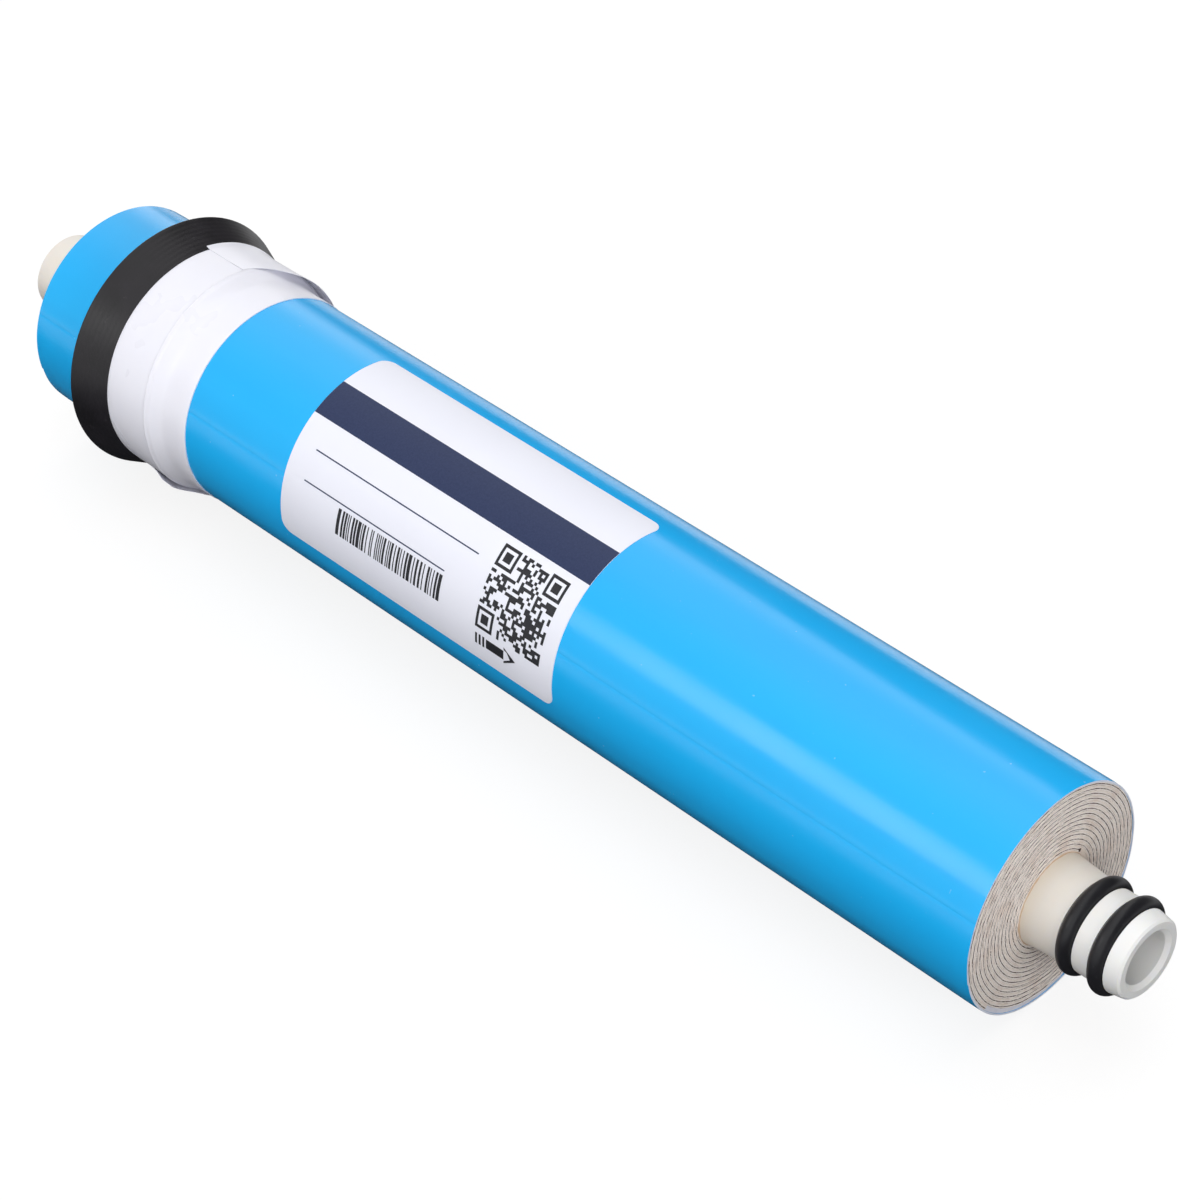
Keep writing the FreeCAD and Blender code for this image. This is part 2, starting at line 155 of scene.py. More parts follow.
class Nodes:
    """A node tree, with short names for what the finishes and the stage use."""

    def __init__(self, tree):
        self.tree = tree
        self.place = self.node("ShaderNodeTexCoord").outputs["Object"]

    def node(self, kind, **settings):
        made = self.tree.nodes.new(kind)
        for key, value in settings.items():
            setattr(made, key, value)
        return made

    def put(self, socket, value):
        """Link an output to a socket, or set the socket's own number."""
        if isinstance(value, bpy.types.NodeSocket):
            self.tree.links.new(value, socket)
        else:
            socket.default_value = value

    def math(self, operation, first, second=0.0, clamp=False):
        made = self.node("ShaderNodeMath", operation=operation, use_clamp=clamp)
        self.put(made.inputs[0], first)
        self.put(made.inputs[1], second)
        return made.outputs[0]

    def scaled(self, x, y, z, source=None):
        made = self.node("ShaderNodeMapping")
        self.put(made.inputs["Vector"], source or self.place)
        made.inputs["Scale"].default_value = (x, y, z)
        return made.outputs[0]

    def noise(self, scale, detail=3.0, roughness=0.5, source=None):
        made = self.node("ShaderNodeTexNoise")
        self.put(made.inputs["Vector"], source or self.place)
        made.inputs["Scale"].default_value = scale
        made.inputs["Detail"].default_value = detail
        made.inputs["Roughness"].default_value = roughness
        return made.outputs["Fac"]

    def range(self, value, low, high, to_low=0.0, to_high=1.0, blend="LINEAR"):
        made = self.node("ShaderNodeMapRange", interpolation_type=blend)
        self.put(made.inputs["Value"], value)
        for socket, number in zip(("From Min", "From Max", "To Min", "To Max"), (low, high, to_low, to_high)):
            made.inputs[socket].default_value = number
        return made.outputs[0]

    def mix(self, factor, first, second):
        made = self.node("ShaderNodeMix", data_type="RGBA")
        self.put(made.inputs[0], factor)
        self.put(made.inputs[6], first if isinstance(first, bpy.types.NodeSocket) else (*first, 1))
        self.put(made.inputs[7], second if isinstance(second, bpy.types.NodeSocket) else (*second, 1))
        return made.outputs[2]


class Finish(Nodes):
    """A material on the Principled shader."""

    def __init__(self, name, **sockets):
        self.material = bpy.data.materials.new(name)
        self.material.use_nodes = True
        super().__init__(self.material.node_tree)
        self.shader = self.tree.nodes["Principled BSDF"]
        for socket, value in sockets.items():
            self.shader.inputs[socket.replace("_", " ")].default_value = value

    def colour(self, value):
        self.put(self.shader.inputs["Base Color"], value)

    def rough(self, value):
        self.put(self.shader.inputs["Roughness"], value)

    def bump(self, height, distance, after=None):
        made = self.node("ShaderNodeBump")
        self.put(made.inputs["Height"], height)
        made.inputs["Distance"].default_value = distance
        if after:
            self.put(made.inputs["Normal"], after)
        self.put(self.shader.inputs["Normal"], made.outputs[0])
        return made.outputs[0]

    def split_place(self):
        """Place along the element's axis, across it and upward, in metres."""
        split = self.node("ShaderNodeSeparateXYZ")
        self.put(split.inputs[0], self.place)
        return split.outputs

    def radius(self):
        """Distance from the element's axis in metres."""
        squares = [self.math("POWER", side, 2.0) for side in self.split_place()[1:]]
        return self.math("SQRT", self.math("ADD", *squares))


# ---------------------------------------------------------------- finishes

def blue_tape():
    f = Finish("blue_tape", IOR=1.5)
    streaks = f.noise(60, 4, 0.6, f.scaled(0.12, 1, 1))
    patches = f.noise(45, 3, 0.5)
    tone = f.mix(f.range(streaks, 0.3, 0.7), (0.009, 0.42, 0.89), (0.012, 0.455, 0.93))
    specks = f.noise(900, 1, 0.4)
    tone = f.mix(f.range(specks, 0.80, 0.86, 0, 0.35), tone, (0.55, 0.78, 0.95))
    f.colour(tone)
    f.rough(f.range(patches, 0.3, 0.7, 0.15, 0.22))
    grain = f.bump(f.noise(220, 3, 0.6, f.scaled(0.10, 1, 1)), 0.00003)
    f.bump(f.noise(1400, 2, 0.5), 0.000006, grain)
    return f.material


def tape_edge():
    f = Finish("tape_edge", IOR=1.48)
    layers = f.noise(1800, 2, 0.5, f.scaled(0.3, 1, 1))
    f.colour(f.mix(layers, (0.60, 0.66, 0.82), (0.86, 0.87, 0.93)))
    f.rough(f.range(layers, 0, 1, 0.35, 0.6))
    f.bump(layers, 0.00004)
    return f.material


def white_tape():
    f = Finish("white_tape", IOR=1.45)
    f.shader.inputs["Subsurface Weight"].default_value = 0.12
    f.shader.inputs["Subsurface Radius"].default_value = (0.0012, 0.0011, 0.001)
    patches = f.noise(70, 3, 0.55)
    f.colour(f.mix(patches, (0.82, 0.82, 0.895), (0.86, 0.86, 0.93)))
    f.rough(f.range(patches, 0.3, 0.7, 0.24, 0.34))
    folds = f.bump(f.noise(90, 2, 0.5, f.scaled(1.6, 0.7, 0.7)), 0.00003)
    f.bump(f.noise(1500, 2, 0.5), 0.000008, folds)
    return f.material


def seal_rubber():
    f = Finish("seal_rubber", IOR=1.45)
    rings = f.math("SINE", f.math("MULTIPLY", f.radius(), 16000.0))
    bloom = f.noise(80, 4, 0.6)
    scuffs = f.noise(420, 5, 0.7)
    tone = f.mix(f.range(bloom, 0.35, 0.7), (0.008, 0.0075, 0.009), (0.016, 0.014, 0.018))
    tone = f.mix(f.range(scuffs, 0.66, 0.74, 0, 0.25), tone, (0.10, 0.09, 0.10))
    f.colour(tone)
    f.rough(f.range(bloom, 0.3, 0.7, 0.34, 0.46))
    turned = f.bump(rings, 0.000006)
    f.bump(f.noise(2600, 3, 0.6), 0.00002, turned)
    return f.material


def ring_rubber():
    f = Finish("ring_rubber", IOR=1.45)
    dust = f.noise(1500, 4, 0.7)
    cloud = f.noise(260, 3, 0.5)
    tone = f.mix(cloud, (0.008, 0.008, 0.010), (0.015, 0.015, 0.018))
    f.colour(f.mix(f.range(dust, 0.66, 0.74, 0, 0.4), tone, (0.15, 0.15, 0.16)))
    f.rough(f.range(cloud, 0.3, 0.7, 0.30, 0.42))
    f.bump(f.noise(3200, 3, 0.6), 0.000015)
    return f.material


def tube_plastic():
    f = Finish("tube_plastic", IOR=1.5)
    f.shader.inputs["Subsurface Weight"].default_value = 0.25
    f.shader.inputs["Subsurface Radius"].default_value = (0.0022, 0.0018, 0.0012)
    along = f.split_place()[0]
    cloud = f.noise(120, 3, 0.5)
    tone = f.mix(cloud, (0.80, 0.755, 0.69), (0.85, 0.81, 0.75))
    tip = f.range(along, ROLL_END * MM + 0.005, ROLL_END * MM + 0.014)
    tone = f.mix(tip, tone, (0.83, 0.83, 0.82))
    near = f.math("ABSOLUTE", f.math("SUBTRACT", along, ROLL_END * MM))
    soaked = f.range(near, 0.0035, 0.0, 0, 0.6)
    tone = f.mix(soaked, tone, (0.78, 0.68, 0.54))
    f.colour(tone)
    f.rough(f.range(f.noise(700, 3, 0.6), 0.3, 0.7, 0.30, 0.42))
    f.bump(f.noise(1100, 3, 0.5), 0.00001)
    return f.material


def sheet_edge(name, low, high, fleck):
    """Cut edge of a sheet: fibres with darker flecks. Given near-black colours, it is the painted shade
    between the sheets.
    """
    f = Finish(name, IOR=1.45)
    fibres = f.noise(1500, 4, 0.7)
    stain = f.noise(260, 3, 0.6)
    tone = f.mix(fibres, low, high)
    tone = f.mix(f.range(stain, 0.5, 0.72, 0, 0.45), tone, fleck)
    f.colour(tone)
    f.rough(0.75)
    f.bump(fibres, 0.00006)
    return f.material


def glue(name, low, high, rough):
    f = Finish(name, IOR=1.52)
    cloud = f.noise(500, 3, 0.6)
    f.colour(f.mix(cloud, low, high))
    f.rough(f.range(cloud, 0.3, 0.7, rough, rough + 0.15))
    f.bump(f.noise(900, 3, 0.6), 0.00005)
    return f.material


def label_paper():
    f = Finish("label_paper", IOR=1.4)
    fibre = f.noise(2400, 4, 0.6)
    cloud = f.noise(60, 3, 0.5)
    f.colour(f.mix(cloud, (0.80, 0.81, 0.90), (0.84, 0.85, 0.93)))
    f.rough(f.range(fibre, 0.3, 0.7, 0.42, 0.52))
    f.bump(fibre, 0.000008)
    return f.material


def ink(name, low, high):
    f = Finish(name, IOR=1.4)
    worn = f.noise(2600, 4, 0.7)
    f.colour(f.mix(f.range(worn, 0.35, 0.75), low, high))
    f.rough(f.range(worn, 0.3, 0.7, 0.36, 0.48))
    f.bump(worn, 0.000006)
    return f.material


FINISH = {
    "blue": blue_tape(),
    "tape_edge": tape_edge(),
    "white": white_tape(),
    "seal": seal_rubber(),
    "ring": ring_rubber(),
    "tube": tube_plastic(),
    "carrier": sheet_edge("carrier_knit", (0.80, 0.70, 0.62), (0.90, 0.83, 0.77), (0.66, 0.50, 0.40)),
    "film": sheet_edge("membrane_film", (0.84, 0.76, 0.71), (0.93, 0.88, 0.85), (0.72, 0.56, 0.48)),
    # painted shade: near-black brown for the spacer's end and the sheets' sides, standing for the shade in
    # the gaps between the sheets
    "recess": sheet_edge("spacer_recess", (0.10, 0.065, 0.05), (0.22, 0.15, 0.12), (0.05, 0.03, 0.025)),
    "strand": sheet_edge("net_strand", (0.62, 0.52, 0.45), (0.80, 0.72, 0.66), (0.45, 0.34, 0.28)),
    "bead": glue("core_bead", (0.50, 0.30, 0.16), (0.74, 0.58, 0.42), 0.3),
    "rim": glue("rim_adhesive", (0.70, 0.70, 0.78), (0.86, 0.85, 0.91), 0.45),
    "label": label_paper(),
    "navy": ink("navy_ink", (0.016, 0.028, 0.085), (0.028, 0.042, 0.110)),
    "black": ink("black_ink", (0.012, 0.012, 0.016), (0.030, 0.030, 0.036)),
}


# ---------------------------------------------------------------- the roll and its ends

def end_slant(radius, angle):
    """How far the cut end of the roll stands out from square, in millimetres."""
    return 0.12 + 0.72 * radius / WRAP_RADIUS * math.cos(math.radians(angle - 60))


def ragged(radius, angle, seed, amount):
    """Small unevenness of a sheet's cut edge."""
    coarse = ripple(0, radius, angle, 1.6, seed)
    fine = ripple(0, radius, angle, 0.5, seed + 7)
    return amount * (0.7 * coarse + 0.5 * fine)


def leaf_radius(turns, offset):
    """Distance from the axis of a face of the leaf, some turns out from its start."""
    whole = math.floor(turns)
    turn = 2 * math.pi * (turns - whole)
    if turn < math.pi:
        return TUBE_RADIUS + offset + whole * PITCH
    circle = TUBE_RADIUS + offset + (2 * whole + 1) * STEP
    return STEP * math.cos(turn) + math.sqrt(circle**2 - (STEP * math.sin(turn)) ** 2)


def wavy(radius, angle):
    """The same radius, moved a little where the roll isn't wound evenly."""
    held = smooth(radius, 8.8, 11) * (1 - smooth(radius, 20.5, 22.2))
    return radius + 0.22 * held * ripple(0, radius, angle, 7, 3)


def ribbon(name, angles, faces_at, near, far, material, replaces=()):
    """A band on edge: faces_at(i) gives its inner and outer radius, near and far its ends' places. Its sides
    get painted shade.
    """
    rings = []
    for i, angle in enumerate(angles):
        inner, outer = faces_at(i)
        middle = (inner + outer) / 2
        rings.append(
            [
                polar(near(inner, angle) - 0.03, inner, angle),
                polar(near(middle, angle) + 0.03, middle, angle),
                polar(near(outer, angle) - 0.03, outer, angle),
                polar(far(outer, angle) + 0.03, outer, angle),
                polar(far(middle, angle) - 0.03, middle, angle),
                polar(far(inner, angle) + 0.03, inner, angle),
            ]
        )
    points, faces = swept(rings)
    band = piece_from(name, points, faces, material, replaces, 50)
    # painted shade: the band's sides, seen only in the gaps between sheets, are near-black brown in place of
    # the shade there
    band.data.materials.append(FINISH["recess"])
    for face in band.data.polygons:
        if abs(face.normal.x) < SIDE_LEAN:
            face.material_index = 1


def cut_ends(back, roughness, seed):
    """Functions that place a sheet's two cut edges, some millimetres back from the roll's ends."""

    def near(radius, angle):
        return ROLL_END + end_slant(radius, angle) - back + ragged(radius, angle, seed, roughness)

    def far(radius, angle):
        return ROLL_START + back + ragged(radius, angle, seed + 20, roughness)

    return near, far


# sheets of the leaf: layer, turn at which it starts, how far its ends lie back and how ragged they are
# in millimetres, seed, finish, slot and the nodes it replaces
LEAF_PIECES = {
    "carrier_edge": ("carrier", 0.0, 0.0, 0.10, 1, "carrier", "carrier_knit", ["permeate_carrier"]),
    "film_inner_edge": ("film_inner", 0.012, 0.02, 0.12, 2, "film", "membrane_film", ["membrane_sheet"]),
    "film_outer_edge": ("film_outer", 0.012, 0.02, 0.12, 3, "film", "membrane_film", []),
    # the spacer's end lies back between the films and is painted dark as their shade
    "spacer_recess": ("spacer", 0.012, 0.45, 0.10, 4, "recess", "spacer_net", ["feed_spacer"]),
}
SHEET_GAP = 0.006
SHEET_STEP = 2.0


def make_sheet_of_leaf(name):
    """One sheet of the leaf, wound from the tube to the wrap."""
    layer, start, back, roughness, seed, finish, slot, replaces = LEAF_PIECES[name]
    count = int((TURNS - start) * 360 / SHEET_STEP)
    turns = [start + i * SHEET_STEP / 360 for i in range(count + 1)]
    turns[-1] = TURNS - 1e-4
    angles = [WINDING_START + 360 * turn for turn in turns]
    low, high = SHEETS[layer]

    def faces_at(i):
        inner = wavy(leaf_radius(turns[i], low) + SHEET_GAP, angles[i])
        outer = wavy(leaf_radius(turns[i], high) - SHEET_GAP, angles[i])
        return inner, outer

    near, far = cut_ends(back, roughness, seed)
    ribbon(name, angles, faces_at, near, far, FINISH[finish], replaces)


def make_net_strands():
    """Cut ends of the spacer net's strands, which show in the gap between the films."""
    dice = random.Random(11)
    low, high = SHEETS["spacer"]
    points, faces = [], []
    turn = 0.02
    lean = 1
    while turn < TURNS - 0.01:
        radius = leaf_radius(turn, (low + high) / 2)
        angle = WINDING_START + 360 * turn
        radius = wavy(radius, angle)
        for end, inward in ((ROLL_END + end_slant(radius, angle), -1), (ROLL_START, 1)):
            foot = polar(end + inward * 1.3, radius, angle + lean * math.degrees(0.9 / radius))
            head = polar(end + inward * dice.uniform(0.03, 0.22), radius, angle)
            thick = dice.uniform(0.05, 0.08) * MM
            along = (head - foot).normalized()
            outward = Vector((0, head.y, head.z)).normalized()
            side = along.cross(outward).normalized()
            outward = side.cross(along)
            first = len(points)
            for centre in (foot, head):
                for k in range(5):
                    bend = 2 * math.pi * k / 5
                    points.append(centre + thick * (math.cos(bend) * outward + 1.3 * math.sin(bend) * side))
            for k in range(5):
                after = (k + 1) % 5
                faces.append((first + k, first + after, first + 5 + after, first + 5 + k))
            faces.append(tuple(first + 5 + k for k in range(5)))
        lean = -lean
        turn += dice.uniform(0.55, 1.35) / (2 * math.pi * radius)
    piece_from("net_strands", points, faces, FINISH["strand"])


def make_leaf():
    for name in LEAF_PIECES:
        make_sheet_of_leaf(name)
    make_net_strands()


def make_core_wedge():
    """Adhesive between the tube and the leaf's second half turn, beside the start of the leaf."""
    bends = [216 + 2 * i for i in range(73)]
    angles = [WINDING_START + bend for bend in bends]

    def faces_at(i):
        return TUBE_RADIUS - 0.05, wavy(leaf_radius(bends[i] / 360 - 1e-6, 0.0), angles[i])

    near, far = cut_ends(0.05, 0.10, 6)
    ribbon("core_wedge", angles, faces_at, near, far, FINISH["carrier"])


def make_tail_wedge():
    """Pale adhesive that fills the step outside the leaf's tail, under the wrap."""
    last = 360 - math.degrees(math.acos(0.8))
    bends = [180 + i * (last - 180) / 70 for i in range(71)]
    angles = [WINDING_START + bend for bend in bends]

    def faces_at(i):
        turn = math.radians(bends[i])
        circle = LEAF_RADIUS - STEP
        inner = STEP * math.cos(turn) + math.sqrt(circle**2 - (STEP * math.sin(turn)) ** 2)
        return inner + 0.01, LEAF_RADIUS

    near, far = cut_ends(0.05, 0.10, 5)
    ribbon("tail_wedge", angles, faces_at, near, far, FINISH["rim"], ["tail_glue"])


def make_core_bead():
    """Brown adhesive squeezed out round the collar where the roll meets it."""
    collar = TUBE_RADIUS
    rings = []
    for i in range(180):
        angle = i * 2.0
        size = 0.22 + 0.10 * ripple(0, 9, angle, 3, 9) + 0.05 * ripple(0, 9, angle, 0.9, 4)
        face = ROLL_END + end_slant(collar, angle) - 0.1
        ring = [polar(face - 0.5, collar - 0.25, angle), polar(face - 0.5, collar + size, angle)]
        for k in range(5):
            bend = math.radians(90 * k / 4)
            x = face + 1.25 * size * math.sin(bend)
            ring.append(polar(x, collar - 0.06 + size * math.cos(bend), angle))
        ring.append(polar(face + 1.1 * size, collar - 0.25, angle))
        rings.append(ring)
    points, faces = swept(rings, True)
    piece_from("core_bead", points, faces, FINISH["bead"], ["core_glue"])


# ---------------------------------------------------------------- wrap, tape, label

def wrap_radius(x, angle):
    """Outside of the blue wrap: a lapped seam, a tape line and a slight unevenness."""
    past = (angle - SEAM) % 360
    radius = WRAP_RADIUS
    if past < SEAM_RAMP:
        radius -= SEAM_STEP * (1 - past / SEAM_RAMP)
    line = abs((angle - TAPE_LINE + 180) % 360 - 180)
    radius -= 0.035 * (1 - smooth(line, 0.12, 0.5))
    return radius + 0.025 * ripple(x / 4, 22, angle, 9, 1)


def make_wrap():
    """Blue tape shell with the roll's own slanting end."""
    marks = [i * 2.5 for i in range(144)]
    marks += [TAPE_LINE + d for d in (-0.5, -0.3, -0.12, 0.12, 0.3, 0.5)]
    marks += [SEAM - 0.02, SEAM + 0.02, SEAM + 0.6]
    angles = sorted({round(mark % 360, 3) for mark in marks})
    spans = 130
    rings = []
    for angle in angles:
        near = ROLL_END + end_slant(WRAP_RADIUS, angle) + 0.04 + 0.05 * ripple(0, 22, angle, 4, 6)
        ring = []
        for k in range(spans + 1):
            x = ROLL_START + (near - ROLL_START) * k / spans
            edge = 0.05 if k in (0, spans) else 0.0
            ring.append(polar(x, wrap_radius(x, angle) - edge, angle))
        inner = LEAF_RADIUS + 0.01
        ring.append(polar(near, inner, angle))
        ring.append(polar(near - 4, inner, angle))
        ring.append(polar(ROLL_START + 4, inner, angle))
        ring.append(polar(ROLL_START, inner, angle))
        rings.append(ring)
    points, faces = swept(rings, True)
    wrap = piece_from("wrap_shell", points, faces, FINISH["blue"], ["outer_wrap"], 25)
    wrap.data.materials.append(FINISH["tape_edge"])
    for face in wrap.data.polygons:
        if abs(face.normal.x) > END_LEAN:
            face.material_index = 1


def tape_profile(angle):
    """Outside of the white tape as places along and out, from the seal to the blue wrap."""
    crease = 57.4 + 0.55 * math.sin(math.radians(1.3 * angle)) + 0.2 * ripple(0, 24, angle, 8, 2)
    edge = TAPE_END + 0.14 * ripple(0, 23, angle, 9, 5)
    pinch = 0.10 + 0.05 * ripple(0, 24, angle, 12, 8)
    skin = WRAP_RADIUS + 0.22
    shape = [(TAPE_START, SLEEVE_RADIUS - 0.05), (TAPE_START + 0.25, SLEEVE_RADIUS)]
    shape += [(TAPE_START + 1.5 * k, SLEEVE_RADIUS) for k in range(1, 7)]
    shape += [(crease - 0.9, SLEEVE_RADIUS - 0.03), (crease - 0.35, SLEEVE_RADIUS - 0.02)]
    shape += [(crease - 0.1, SLEEVE_RADIUS + pinch)]
    shape += [(crease + 0.15, SLEEVE_RADIUS - 0.05), (crease + 0.5, SLEEVE_RADIUS - 0.24)]
    shape += [(crease + 0.8, SLEEVE_RADIUS - 0.22), (crease + 1.1, SLEEVE_RADIUS - 0.42)]
    shape += [(crease + 2.2, SLEEVE_RADIUS - 0.95), (crease + 3.2, skin + 0.26), (crease + 4.2, skin + 0.05)]
    shape += [(edge - 5.0, skin), (edge - 2.5, skin), (edge - 0.2, skin), (edge, skin - 0.04)]
    return shape


def make_tape():
    """White tape over the seal's sleeve, creased where it drops on to the wrap."""
    rings = []
    for i in range(180):
        angle = i * 2.0 - 180
        profile = tape_profile(angle)
        ring = [polar(x, radius + 0.03 * ripple(x, radius, angle, 6, 4), angle) for x, radius in profile]
        edge = profile[-1][0]
        ring.append(polar(edge, WRAP_RADIUS - 0.05, angle))
        ring.append(polar(TAPE_START + 12.5, WRAP_RADIUS - 0.05, angle))
        ring.append(polar(TAPE_START + 10.0, SLEEVE_RADIUS - 0.28, angle))
        ring.append(polar(TAPE_START, SLEEVE_RADIUS - 0.28, angle))
        rings.append(ring)
    points, faces = swept(rings, True)
    piece_from("seal_tape_band", points, faces, FINISH["white"], ["seal_tape"], 40)


# the tape's second turn: its first and last angle, and how thick it is and how high its tail lifts
OVERLAP_START = -50.5
OVERLAP_END = -272.0
OVERLAP_STEPS = 148
OVERLAP_THICKNESS = 0.08
TAIL_LIFT = 1.0


def under_overlap(x):
    """What the second turn of tape lies on: the seal's heel, then the first turn, run straight on."""
    if x < TAPE_START:
        return HEEL_RADIUS + (RIM_RADIUS - HEEL_RADIUS) * (TAPE_START - x) / (TAPE_START - RIM_START)
    return SLEEVE_RADIUS + 0.12 * (1 - smooth(x, TAPE_START, TAPE_START + 0.6)) + 0.2 * smooth(x, 56, 62)


def make_tape_overlap():
    """Second turn of the tape, behind: it runs straight on past the sleeve and its tail is loose."""
    rings = []
    for i in range(OVERLAP_STEPS + 1):
        part = i / OVERLAP_STEPS
        angle = OVERLAP_START + (OVERLAP_END - OVERLAP_START) * part
        loose = smooth(part, 0.92, 1.0)
        start = TAPE_START - 0.7 + 0.1 * ripple(0, 24, angle, 8, 3) + 6.0 * loose
        edge = 56.6 + 4.4 * smooth(part, 0.0, 0.14) - 2.6 * smooth(part, 0.85, 1.0)
        edge += 0.15 * ripple(0, 24, angle, 7, 6)
        ring = []
        for k in range(19):
            along = k / 18
            x = start + (edge - start) * along
            lift = 0.04 + TAIL_LIFT * loose * smooth(along, 0.1, 0.7)
            ring.append((x, under_overlap(x) + lift + 0.04 * ripple(x, 24, angle, 5, 8)))
        outer = [polar(x, radius + OVERLAP_THICKNESS, angle) for x, radius in ring]
        inner = [polar(x, radius, angle) for x, radius in reversed(ring)]
        rings.append(outer + inner)
    points, faces = swept(rings)
    piece_from("seal_tape_tail", points, faces, FINISH["white"], (), 40)


def patch(points, faces, x0, x1, a0, a1, radius):
    """A thin field of print on the label between two places along and two angles."""
    steps = max(1, math.ceil((a1 - a0) / 2.0))
    first = len(points)
    for i in range(steps + 1):
        angle = a0 + (a1 - a0) * i / steps
        points.append(polar(x0, radius, angle))
        points.append(polar(x1, radius, angle))
    for i in range(steps):
        k = first + 2 * i
        faces.append((k, k + 1, k + 3, k + 2))


def outline_patch(points, faces, outline, radius):
    """A thin field of print with any outline of places along and angles."""
    first = len(points)
    points.extend(polar(x, radius, angle) for x, angle in outline)
    faces.append(tuple(range(first, first + len(outline))))


# print on the label: places along in millimetres, angles round the axis in degrees
INK_LIFT = 0.012
BAND_INSET = 0.02
BAND_ANGLES = (-28.0, -7.0)
STRIPES = (ROLL_END - 162.0, ROLL_END - 131.0)
LAST_STRIPE = ROLL_END - 131.6
STRIPE_ANGLES = (27.0, 41.0)
STRIPE_WIDTHS = (0.28, 0.28, 0.55, 0.55, 0.85)
STRIPE_GAPS = (0.25, 0.25, 0.5, 0.8)
CODE_START = ROLL_END - 122.0
CODE_ANGLE = -3.0
CODE_SIDE = 17.4
CODE_CELLS = 27
CORNER_CELLS = 7
CORNER_BARS = ((0, 7, 0, 1), (0, 7, 6, 7), (0, 1, 1, 6), (6, 7, 1, 6), (2, 5, 2, 5))
RULE_START = LABEL_START + 5.5
RULE_WIDTH = 0.7
RULES = ((8.0, 52.0), (24.2, 46.0))


def add_stripes(points, faces, dice, radius):
    """Striped code: bars of random widths that carry no data."""
    x, end = STRIPES
    while x < LAST_STRIPE:
        wide = dice.choice(STRIPE_WIDTHS)
        patch(points, faces, x, min(x + wide, end), *STRIPE_ANGLES, radius)
        x += wide + dice.choice(STRIPE_GAPS)


def three_corners(cells):
    """First cell, along and round, of the block code's three marked corners."""
    far = CODE_CELLS - cells
    return (0, 0), (far, 0), (0, far)


def add_blocks(points, faces, dice, radius):
    """Block code: random cells that carry no data, with a framed square in three corners."""
    size = CODE_SIDE / CODE_CELLS
    round_mm = math.degrees(1 / WRAP_RADIUS)
    clear = CORNER_CELLS + 1

    def in_corner(i, j):
        return any(i0 <= i < i0 + clear and j0 <= j < j0 + clear for i0, j0 in three_corners(clear))

    for i in range(CODE_CELLS):
        for j in range(CODE_CELLS):
            if not in_corner(i, j) and dice.random() < 0.5:
                low = CODE_ANGLE + j * size * round_mm
                start = CODE_START + i * size
                patch(points, faces, start, CODE_START + (i + 1) * size, low, low + size * round_mm, radius)
    for i0, j0 in three_corners(CORNER_CELLS):
        for first, last, inner, outer in CORNER_BARS:
            low = CODE_ANGLE + (j0 + inner) * size * round_mm
            high = CODE_ANGLE + (j0 + outer) * size * round_mm
            start = CODE_START + (i0 + first) * size
            patch(points, faces, start, CODE_START + (i0 + last) * size, low, high, radius)


def add_arrow(points, faces, radius):
    """Plain arrow beside the block code, with three ticks behind it."""
    for k in range(3):
        patch(points, faces, CODE_START + 0.2 + 1.0 * k, CODE_START + 0.75 + 1.0 * k, 44.0, 50.0, radius)
    patch(points, faces, CODE_START + 3.2, CODE_START + 8.0, 44.4, 49.6, radius)
    tip = [(CODE_START + 8.0, 42.4), (CODE_START + 11.2, 47.0), (CODE_START + 8.0, 51.6)]
    outline_patch(points, faces, tip, radius + 0.02)


def make_print():
    """Generic print on the label: a band, rules, a striped code, a block code and an arrow."""
    radius = LABEL[1].z / MM + INK_LIFT
    points, faces = [], []
    patch(points, faces, LABEL_START + BAND_INSET, LABEL_END - BAND_INSET, *BAND_ANGLES, radius)
    piece_from("label_band", points, faces, FINISH["navy"])

    dice = random.Random(5)
    points, faces = [], []
    add_stripes(points, faces, dice, radius)
    add_blocks(points, faces, dice, radius)
    add_arrow(points, faces, radius)
    piece_from("label_code", points, faces, FINISH["black"])

    points, faces = [], []
    for low, end in RULES:
        patch(points, faces, RULE_START, LABEL_START + end, low, low + RULE_WIDTH, radius)
    piece_from("label_rules", points, faces, FINISH["navy"])


# ---------------------------------------------------------------- stage

# strength of each light: the first three are parts of the studio's walls, the rest are lamps in watts
LIGHTS = {
    "sky": 1.3,
    "rim": 0.8,
    "shade": 0.08,
    "top": 3.0,
    "back": 3.0,
    "left": 1.0,
    "front": 6.0,
    "side": 1.2,
}
# each lamp: place, point it aims at, width and height in metres, and whether reflections show it
LAMPS = {
    "top": ((0.10, 0.10, 1.30), (0.15, 0, 0), 1.0, 1.0, False),
    "back": ((0.10, 0.90, 0.70), (0.15, 0, 0), 0.8, 0.8, False),
    "left": ((0.10, -1.00, 0.25), (0.15, 0, 0), 0.8, 0.4, False),
    "front": ((1.30, -0.25, 0.35), (0.25, 0, 0), 0.6, 0.6, False),
    "side": ((-0.18, -0.80, 0.45), (0.20, 0, 0), 0.5, 0.3, True),
}

# floor in metres: its width, the hair's breadth below the seal, and where its strip of painted shade under
# the object fades out
FLOOR_WIDTH = 6
FLOOR_CLEARANCE = 0.00002
PAINTED_SHADE_FADE = (0.07, 0.13)

# direction of the middle of the studio's bright half
BRIGHT_SIDE = (-0.715, -0.675, 0.188)

# camera: place in metres, lens and sensor in millimetres, and the directions to its right and behind it
CAMERA_PLACE = (0.5582, -0.3804, 0.4291)
CAMERA_RIGHT = (0.69502, 0.71898, 0)
CAMERA_BACK = (0.56705, -0.54814, 0.61480)
LENS = 110.12
SENSOR = 36


